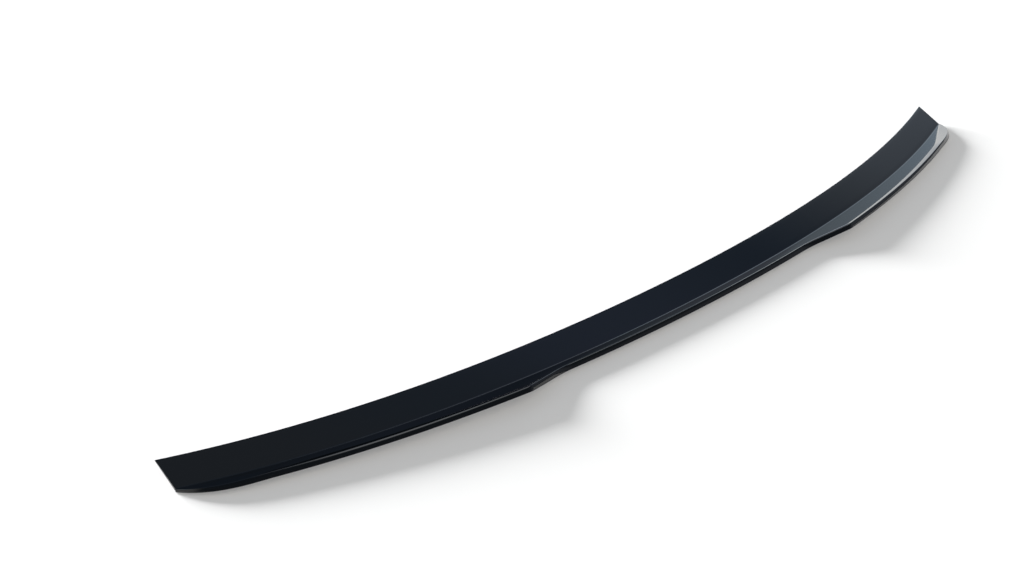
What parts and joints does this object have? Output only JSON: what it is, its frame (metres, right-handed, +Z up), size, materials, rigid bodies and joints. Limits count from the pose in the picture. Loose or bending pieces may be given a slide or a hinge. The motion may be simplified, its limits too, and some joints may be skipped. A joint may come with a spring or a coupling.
{
  "type": "car rear spoiler",
  "caption": "Slim rear lip spoiler for a boot lid: gloss black moulded blade with raised wings, a lower middle and rounded tips, with foam bonding tape and peel-off liner.",
  "frame": {"origin": "middle of the tape's bonding face, on the symmetry plane", "axes": "+X to the car's right along the spoiler's length, +Y to the car's front, +Z up; the lip kicks up on the -Y side, and the crease is level"},
  "size_m": [1.2, 0.1755, 0.0221],
  "materials": {
    "gloss_black": "gloss",
    "foam_grey": "closed-cell foam",
    "liner_red": "satin film"
  },
  "bodies": {
    "root": {"spoiler_shell": "gloss_black", "foam_tape": "foam_grey", "release_liner": "liner_red"}
  },
  "joints": []
}
